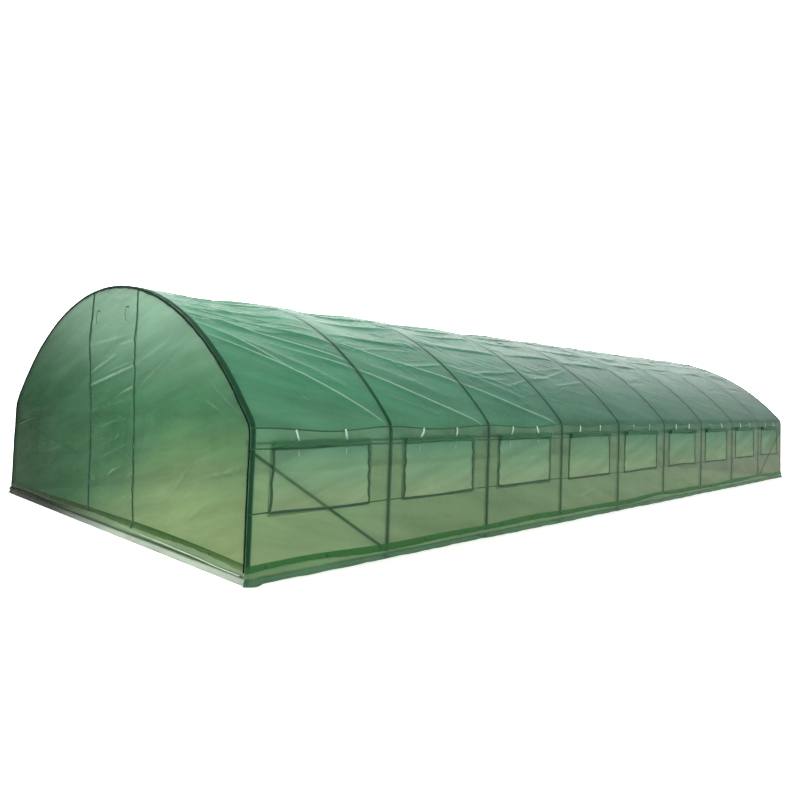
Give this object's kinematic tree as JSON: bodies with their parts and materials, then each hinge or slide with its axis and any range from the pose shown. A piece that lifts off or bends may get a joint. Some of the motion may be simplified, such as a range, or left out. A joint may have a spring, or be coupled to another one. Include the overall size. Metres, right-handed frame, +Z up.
{
  "type": "polytunnel greenhouse",
  "caption": "Walk-in polytunnel greenhouse: curved steel tube hoops on short straight legs, green film cover, roll-up mesh windows and zipped end doors.",
  "frame": {"origin": "on the ground at the middle of the footprint", "axes": "+X towards the right long side, +Y along the tunnel towards its back end, +Z up"},
  "size_m": [5.1528, 12.1278, 2.2693],
  "materials": {
    "hoop_tube": "dark green powder-coated steel tube",
    "purlin_tube": "dark green powder-coated steel tube",
    "galvanised_fittings": "galvanised pressed steel",
    "roof_film": "green reinforced polyethylene film",
    "side_film": "green reinforced polyethylene film",
    "end_film": "green reinforced polyethylene film",
    "window_mesh": "fine insect mesh",
    "window_tape": "woven binding tape",
    "rolled_film": "rolled polyethylene film",
    "white_webbing": "white woven tape",
    "zip_tape": "dark green coil zip on tape",
    "door_strap": "green woven strap with a plastic toggle",
    "arch_hem_tape": "doubled polyethylene hem",
    "hem_band": "doubled polyethylene band with eyelets",
    "ground_film": "green reinforced polyethylene film"
  },
  "bodies": {
    "root": {"back_arch_hem": "arch_hem_tape", "back_door_panel": "end_film", "back_door_ties": "door_strap", "back_door_zips": "zip_tape", "back_wall_left": "end_film", "back_wall_right": "end_film", "corner_braces": "purlin_tube", "end_ground_flaps": "ground_film", "end_hem_bands": "hem_band", "foot_plates": "galvanised_fittings", "front_arch_hem": "arch_hem_tape", "front_door_panel": "end_film", "front_door_ties": "door_strap", "front_door_zips": "zip_tape", "front_wall_left": "end_film", "front_wall_right": "end_film", "left_legs": "hoop_tube", "left_purlin": "purlin_tube", "left_side_cover": "side_film", "left_window_flaps": "rolled_film", "left_window_screens": "window_mesh", "left_window_ties": "white_webbing", "left_window_trims": "window_tape", "purlin_clamps": "galvanised_fittings", "ridge_purlin": "purlin_tube", "right_legs": "hoop_tube", "right_purlin": "purlin_tube", "right_side_cover": "side_film", "right_window_flaps": "rolled_film", "right_window_screens": "window_mesh", "right_window_ties": "white_webbing", "right_window_trims": "window_tape", "roof_bow_01": "hoop_tube", "roof_bow_02": "hoop_tube", "roof_bow_03": "hoop_tube", "roof_bow_04": "hoop_tube", "roof_bow_05": "hoop_tube", "roof_bow_06": "hoop_tube", "roof_bow_07": "hoop_tube", "roof_bow_08": "hoop_tube", "roof_bow_09": "hoop_tube", "roof_bow_10": "hoop_tube", "roof_cover": "roof_film", "side_ground_flaps": "ground_film", "side_hem_bands": "hem_band"}
  },
  "joints": []
}
